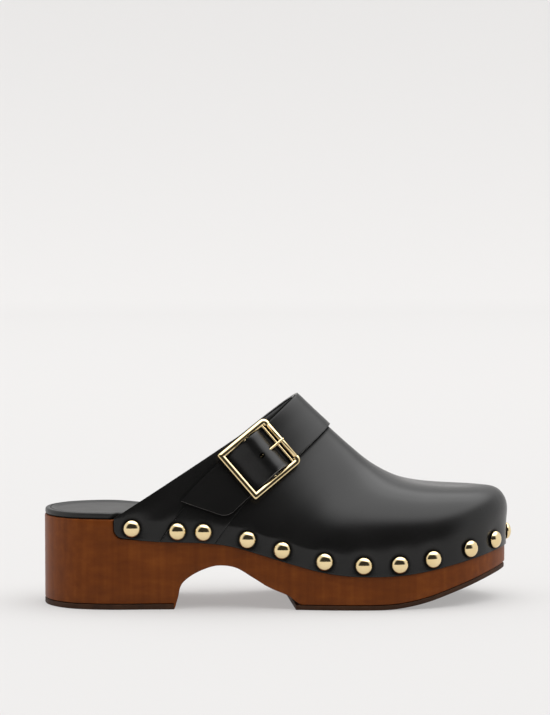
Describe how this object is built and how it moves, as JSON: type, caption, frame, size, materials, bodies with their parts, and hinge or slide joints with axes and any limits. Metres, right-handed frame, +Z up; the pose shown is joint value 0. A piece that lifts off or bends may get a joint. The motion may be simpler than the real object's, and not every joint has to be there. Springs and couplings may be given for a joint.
{
  "type": "wooden clog",
  "caption": "Closed-toe, open-back clog: carved wooden sole with block heel, black leather upper nailed on with domed studs, and an instep strap with a roller buckle.",
  "frame": {"origin": "middle of the clog's box on the ground, under the arch of the sole", "axes": "+X to the toe, -Y to the outer side of the foot (right foot), +Z up"},
  "size_m": [0.2629, 0.1016, 0.1158],
  "materials": {
    "stained_wood": "satin stained and varnished, red-brown",
    "brown_rubber": "matt",
    "black_leather": "smooth, semi-gloss",
    "sock_leather": "smooth, soft sheen",
    "lining_leather": "matt",
    "puff_board": "hidden thermoplastic stiffener",
    "foam": "hidden soft foam",
    "gold_metal": "polished pale gold"
  },
  "bodies": {
    "clog": {"wooden_sole": "stained_wood", "heel_tread": "brown_rubber", "forefoot_tread": "brown_rubber", "footbed_cover": "sock_leather", "footbed_cushion": "foam", "vamp": "black_leather", "vamp_lining": "lining_leather", "toe_puff": "puff_board", "buckle_chape": "black_leather", "instep_strap": "black_leather", "stud_01": "gold_metal", "stud_02": "gold_metal", "stud_03": "gold_metal", "stud_04": "gold_metal", "stud_05": "gold_metal", "stud_06": "gold_metal", "stud_07": "gold_metal", "stud_08": "gold_metal", "stud_09": "gold_metal", "stud_10": "gold_metal", "stud_11": "gold_metal", "stud_12": "gold_metal", "stud_13": "gold_metal", "stud_14": "gold_metal", "stud_15": "gold_metal", "stud_16": "gold_metal", "stud_17": "gold_metal", "stud_18": "gold_metal", "stud_19": "gold_metal", "stud_20": "gold_metal", "stud_21": "gold_metal"},
    "buckle": {"buckle_frame": "gold_metal"},
    "roller": {"buckle_roller": "gold_metal"},
    "prong": {"buckle_prong": "gold_metal"}
  },
  "joints": [
    {"name": "buckle_swivel", "type": "hinge", "parent": "clog", "child": "buckle", "pos_m": [-0.01281, -0.02935, 0.08259], "axis": [-0.6394, 0.1941, 0.744], "range_deg": [-2, 2]},
    {"name": "prong_hinge", "type": "hinge", "parent": "buckle", "child": "prong", "pos_m": [-0.01281, -0.02935, 0.08259], "axis": [0.6394, -0.1941, -0.744], "range_deg": [0, 2]},
    {"name": "roller_spin", "type": "hinge", "parent": "buckle", "child": "roller", "pos_m": [-0.0005, -0.02437, 0.09187], "axis": [-0.6394, 0.1941, 0.744], "continuous": true}
  ]
}
